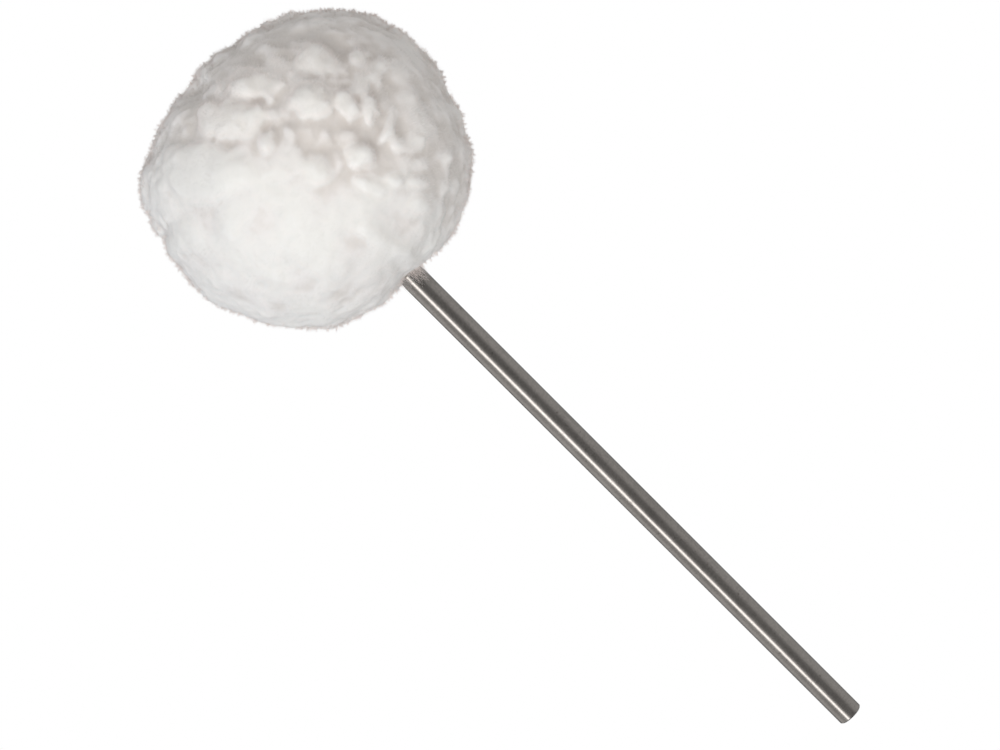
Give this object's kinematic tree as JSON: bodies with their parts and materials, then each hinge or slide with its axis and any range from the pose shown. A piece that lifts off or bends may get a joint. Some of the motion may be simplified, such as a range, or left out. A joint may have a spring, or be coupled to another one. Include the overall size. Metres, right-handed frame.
{
  "type": "bass drum pedal beater",
  "caption": "Pedal beater for a bass drum: round fluffy white fleece head over a felt core, on a long plain straight steel rod that clamps into the pedal's hub.",
  "frame": {"origin": "centre of the rod's free end, the end that goes into the pedal's hub", "axes": "+Z along the rod's axis, from its free end towards the head; the part is round about Z"},
  "size_m": [0.099, 0.099, 0.2778],
  "materials": {
    "ground_steel": "centreless-ground bright steel, satin",
    "plated_steel": "zinc-plated",
    "felt": "pressed wool felt",
    "knit": "knitted ground of the fleece",
    "fleece": "soft clumped pile about 15 mm deep",
    "waxed_thread": "waxed"
  },
  "bodies": {
    "root": {"shaft": "ground_steel", "seat_washer": "plated_steel", "felt_core": "felt", "crown_washer": "plated_steel", "lock_washer": "plated_steel", "crown_nut": "plated_steel", "crown_plug": "felt", "fleece_backing": "knit", "neck_whipping": "waxed_thread", "fleece_pile": "fleece"}
  },
  "joints": []
}
